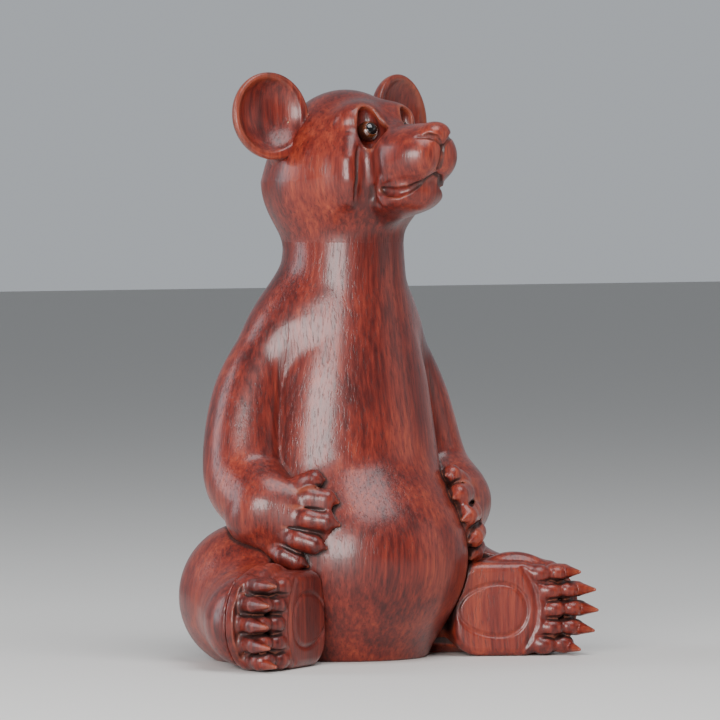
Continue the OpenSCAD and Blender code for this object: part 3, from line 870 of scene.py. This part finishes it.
def turned(name, profile, place, material, turns=72, flutes=0, depth=0.0):
    """A piece turned on a lathe from (radius, height) pairs, from its bottom to its top."""
    rings = []
    for radius, height in profile:
        angles = np.arange(turns) * 2 * math.pi / turns
        r = radius * (1 - depth * (0.5 + 0.5 * np.cos(flutes * angles)) ** 3)
        rings.append(np.stack((r * np.cos(angles), r * np.sin(angles), np.full(turns, height)), 1))
    spots = np.concatenate(rings + [[(0, 0, profile[0][1])], [(0, 0, profile[-1][1])]]) / 1000
    faces = []
    for i in range(len(profile) - 1):
        for j in range(turns):
            k = (j + 1) % turns
            faces.append((i * turns + j, i * turns + k, (i + 1) * turns + k, (i + 1) * turns + j))
    bottom, top = len(spots) - 2, len(spots) - 1
    for j in range(turns):
        k = (j + 1) % turns
        faces.append((bottom, k, j))
        faces.append((top, top - 1 - turns + j, top - 1 - turns + k))
    mesh = bpy.data.meshes.new(name)
    mesh.from_pydata([tuple(p) for p in spots], [], faces)
    mesh.shade_smooth()
    mesh.materials.append(material)
    piece = bpy.data.objects.new(name, mesh)
    bpy.context.collection.objects.link(piece)
    piece.matrix_world = place
    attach(piece, "root")
    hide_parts(name)
    return piece


def in_metres(place):
    """A block's frame, in millimetres from the neck's axis, as a frame in metres."""
    turn, spot = place.to_3x3(), place.translation
    return Matrix.Translation(spot / 1000 + Vector((0, neck.y, 0))) @ turn.to_4x4()


# Brown glass: fibres run out from the pupil, paler near it and almost black at the rim.
brown_glass, surface, node, link = shader("brown_glass")
place = node("TexCoord").outputs["Object"]
across = node("VectorMath", {0: place, 1: (1000, 1000, 0)}, operation="MULTIPLY").outputs[0]
radius = node("VectorMath", {0: across}, operation="LENGTH").outputs["Value"]
outward = node("VectorMath", {0: across}, operation="NORMALIZE").outputs[0]
fibres = node("TexNoise", {"Vector": outward, "Scale": 9.0, "Detail": 4.0, "Roughness": 0.65}).outputs[0]
clouds = node("TexNoise", {"Vector": place, "Scale": 420.0, "Detail": 2.0}).outputs[0]
mixed = math_node(node, "MULTIPLY", fibres, 0.65)
mixed = math_node(node, "ADD", mixed, math_node(node, "MULTIPLY", clouds, 0.35))
AMBER = [(0.32, (0.028, 0.0065, 0.003)), (0.5, (0.1, 0.024, 0.007)), (0.68, (0.24, 0.075, 0.018))]
BURNT = (0.012, 0.004, 0.003, 1)
amber = ramp(node, mixed, AMBER)
rim = node("MapRange", {"Value": radius, 1: 2.9, 2: 3.75}, interpolation_type="SMOOTHSTEP").outputs[0]
link(mix(node, math_node(node, "MULTIPLY", rim, 0.85), amber, BURNT), surface.inputs["Base Color"])
link(node("MapRange", {"Value": clouds, 3: 0.16, 4: 0.3}).outputs[0], surface.inputs["Roughness"])
surface.inputs["Coat Weight"].default_value = 1.0
surface.inputs["Coat Roughness"].default_value = 0.03
ripples = node("Bump", {"Height": fibres, "Strength": 0.3, "Distance": 0.0001})
link(ripples.outputs[0], surface.inputs["Normal"])

# Black glass: all but perfectly black, with faint smears left by polishing.
black_glass, surface, node, link = shader("black_glass")
place = node("TexCoord").outputs["Object"]
wiped = node("VectorMath", {0: place, 1: (1, 0.25, 1)}, operation="MULTIPLY").outputs[0]
smears = node("TexNoise", {"Vector": wiped, "Scale": 900.0, "Detail": 3.0}).outputs[0]
black = ramp(node, smears, [(0.35, (0.004, 0.004, 0.005)), (0.7, (0.009, 0.007, 0.007))])
link(black, surface.inputs["Base Color"])
link(node("MapRange", {"Value": smears, 3: 0.04, 4: 0.12}).outputs[0], surface.inputs["Roughness"])
surface.inputs["Coat Weight"].default_value = 0.6
surface.inputs["Coat Roughness"].default_value = 0.03

PUPIL_R = 2.4
for side, word in ((1, "left"), (-1, "right")):
    eye_lo, eye_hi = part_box("eye_" + word)
    faces_out = Matrix.Rotation(side * GAZE, 4, "Z") @ Matrix.Rotation(math.pi / 2, 4, "X")
    set_in = in_metres(head_place @ faces_out)
    set_in.translation = (eye_lo + eye_hi) / 2
    ball_r = (eye_hi.z - eye_lo.z) * 500
    # The bore for the pupil starts at the front, and its floor is the seat.
    seat, mouth = ball_r * 0.45, ball_r * 0.45 + 1.25
    round_back = np.linspace(0.08, math.pi - math.asin(0.61), 34)
    profile = [(ball_r * math.sin(a), -ball_r * math.cos(a)) for a in round_back]
    profile += [(PUPIL_R + 0.04, mouth), (PUPIL_R + 0.03, seat), (0.2, seat)]
    eye = turned("eye_" + word, profile, set_in, brown_glass)
    plug = [(PUPIL_R - 0.1, seat + 0.02), (PUPIL_R, seat + 0.12), (PUPIL_R, mouth)]
    plug += [(ball_r * math.sin(a), ball_r * math.cos(a)) for a in np.linspace(0.6, 0.03, 16)]
    pupil = turned("pupil_" + word, plug, set_in, black_glass)

# ---------------------------------------------------------------------------------------------
# Dowels. Straight pegs of pale beech with fluted sides for the glue and chamfered ends. All are
# hidden once the bear is glued up: one in the neck, and one in each ear, shoulder, hip and ankle.
# ---------------------------------------------------------------------------------------------
beech, surface, node, link = shader("pale_beech")
place = node("TexCoord").outputs["Object"]
along = node("VectorMath", {0: place, 1: (1, 1, 0.06)}, operation="MULTIPLY").outputs[0]
streaks = node("TexNoise", {"Vector": along, "Scale": 1400.0, "Detail": 3.0, "Roughness": 0.6}).outputs[0]
stretched = node("VectorMath", {0: place, 1: (1, 1, 0.3)}, operation="MULTIPLY").outputs[0]
flecks = node("TexVoronoi", {"Vector": stretched, "Scale": 900.0}).outputs["Distance"]
flecks = node("MapRange", {"Value": flecks, 1: 0.05, 2: 0.3, 3: 1.0, 4: 0.0}).outputs[0]
BEECH = [(0.3, (0.42, 0.25, 0.13)), (0.5, (0.58, 0.38, 0.21)), (0.72, (0.68, 0.48, 0.29))]
colour = ramp(node, streaks, BEECH)
colour = mix(node, math_node(node, "MULTIPLY", flecks, 0.5), colour, (0.3, 0.15, 0.07, 1))
link(colour, surface.inputs["Base Color"])
link(node("MapRange", {"Value": streaks, 3: 0.5, 4: 0.72}).outputs[0], surface.inputs["Roughness"])
furrows = node("Bump", {"Height": streaks, "Strength": 0.4, "Distance": 0.0001})
link(furrows.outputs[0], surface.inputs["Normal"])


def dowel(name, radius, direction):
    """A fluted peg that fills its own box along a direction."""
    spot, d, half = peg_line(name, direction, radius)
    place = Matrix.Translation(spot) @ d.to_track_quat("Z", "Y").to_matrix().to_4x4()
    chamfer = radius * 0.22
    body = [(radius, t) for t in np.linspace(-half + chamfer, half - chamfer, 9)]
    profile = [(radius - chamfer, -half)] + body + [(radius - chamfer, half)]
    peg = turned(name, profile, place, beech, turns=96, flutes=16, depth=0.07)


dowel("neck_dowel", NECK_PEG, (0, 0, 1))
for side, word in ((1, "left"), (-1, "right")):
    dowel("arm_dowel_" + word, LIMB_PEG, (1, 0, 0))
    dowel("leg_dowel_" + word, LIMB_PEG, (1, 0, 0))
    dowel("foot_dowel_" + word, LIMB_PEG, (side * sole_out[0], sole_out[1], 0))
    dowel("ear_dowel_" + word, EAR_PEG, ear_places[word].to_3x3() @ Vector((1, 0, 0)))
